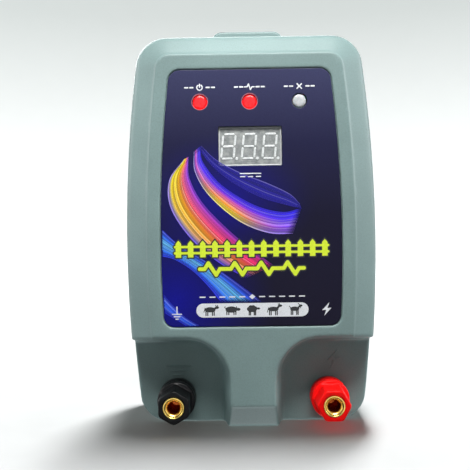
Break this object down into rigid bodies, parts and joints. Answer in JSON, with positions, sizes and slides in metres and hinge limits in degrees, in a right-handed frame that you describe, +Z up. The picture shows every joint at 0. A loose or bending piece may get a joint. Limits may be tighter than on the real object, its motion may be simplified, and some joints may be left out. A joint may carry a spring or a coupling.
{
  "type": "fence energizer",
  "caption": "Hand-sized electric fence energizer: bowed two-shell case, printed front label, three lamps, three-digit display and two screw-down output terminals.",
  "frame": {"origin": "middle of the footprint at the base, where the case stands upright", "axes": "+Z up the case towards the hanging tab, front panel and terminals face -Y, +X to the right as seen from the front"},
  "size_m": [0.0912, 0.0506, 0.1525],
  "materials": {
    "case_plastic": "satin moulded",
    "gasket_rubber": "matt",
    "screw_steel": "plated",
    "label_film": "printed film",
    "red_lens": "tinted lens",
    "clear_lens": "frosted lens",
    "display_face": "satin",
    "board_laminate": "solder mask",
    "core_steel": "lacquered",
    "copper_wire": "enamelled copper",
    "black_plastic": "satin moulded",
    "red_plastic": "gloss moulded",
    "capacitor_case": "satin",
    "capacitor_sleeve": "satin sleeve",
    "aluminium": "extruded",
    "chip_plastic": "matt moulded",
    "fuse_glass": "clear",
    "brass": "bright plated",
    "tinned_steel": "tinned",
    "red_wire": "satin sleeve",
    "black_wire": "satin sleeve"
  },
  "bodies": {
    "case": {"board_screw_1": "screw_steel", "board_screw_2": "screw_steel", "board_screw_3": "screw_steel", "board_screw_4": "screw_steel", "case_gasket": "gasket_rubber", "case_screw_1": "screw_steel", "case_screw_2": "screw_steel", "case_screw_3": "screw_steel", "case_screw_4": "screw_steel", "controller_chip": "chip_plastic", "dc_jack_body": "black_plastic", "dc_jack_nut": "tinned_steel", "dc_jack_pin": "tinned_steel", "display_module": "display_face", "earth_collar": "black_plastic", "earth_lock_nut": "brass", "earth_lug": "tinned_steel", "earth_nut": "brass", "earth_rear_washer": "black_plastic", "earth_stud": "brass", "earth_wire": "black_wire", "fault_led": "clear_lens", "fence_collar": "red_plastic", "fence_lock_nut": "brass", "fence_lug": "tinned_steel", "fence_nut": "brass", "fence_rear_washer": "red_plastic", "fence_stud": "brass", "fence_wire": "red_wire", "front_cover": "case_plastic", "fuse": "fuse_glass", "fuse_clip_lower": "brass", "fuse_clip_upper": "brass", "heatsink": "aluminium", "input_capacitor": "capacitor_sleeve", "inverter_core": "core_steel", "inverter_winding": "copper_wire", "label_overlay": "label_film", "main_board": "board_laminate", "mosfet": "chip_plastic", "power_led": "red_lens", "pulse_bobbin": "black_plastic", "pulse_core": "core_steel", "pulse_winding": "copper_wire", "rear_cover": "case_plastic", "shock_led": "red_lens", "storage_capacitor": "capacitor_case", "supply_wire_negative": "black_wire", "supply_wire_positive": "red_wire", "switch_frame": "black_plastic", "switch_wire_lower": "red_wire", "switch_wire_upper": "red_wire", "thyristor": "chip_plastic"},
    "earth_insert": {"earth_knob_insert": "brass"},
    "earth_knob_body": {"earth_knob": "black_plastic"},
    "fence_insert": {"fence_knob_insert": "brass"},
    "fence_knob_body": {"fence_knob": "red_plastic"},
    "rocker": {"switch_rocker": "black_plastic"}
  },
  "joints": [
    {"name": "earth_knob_travel", "type": "slide", "parent": "case", "child": "earth_insert", "axis": [0, -1, 0], "range_m": [0, 0.00424]},
    {"name": "earth_knob_turn", "type": "hinge", "parent": "earth_insert", "child": "earth_knob_body", "pos_m": [-0.0279, -0.02067, 0.0095], "axis": [0, -1, 0], "range_deg": [0, 1530]},
    {"name": "fence_knob_travel", "type": "slide", "parent": "case", "child": "fence_insert", "axis": [0, -1, 0], "range_m": [0, 0.00424]},
    {"name": "fence_knob_turn", "type": "hinge", "parent": "fence_insert", "child": "fence_knob_body", "pos_m": [0.0279, -0.02067, 0.0095], "axis": [0, -1, 0], "range_deg": [0, 1530]},
    {"name": "switch_rock", "type": "hinge", "parent": "case", "child": "rocker", "pos_m": [0.041, -0.00118, 0.072], "axis": [0, 1, 0], "range_deg": [0, 24]}
  ],
  "couplings": [
    {"joint": "earth_knob_turn", "follows": "earth_knob_travel", "rad_per_m": 6283.2},
    {"joint": "fence_knob_turn", "follows": "fence_knob_travel", "rad_per_m": 6283.2}
  ]
}
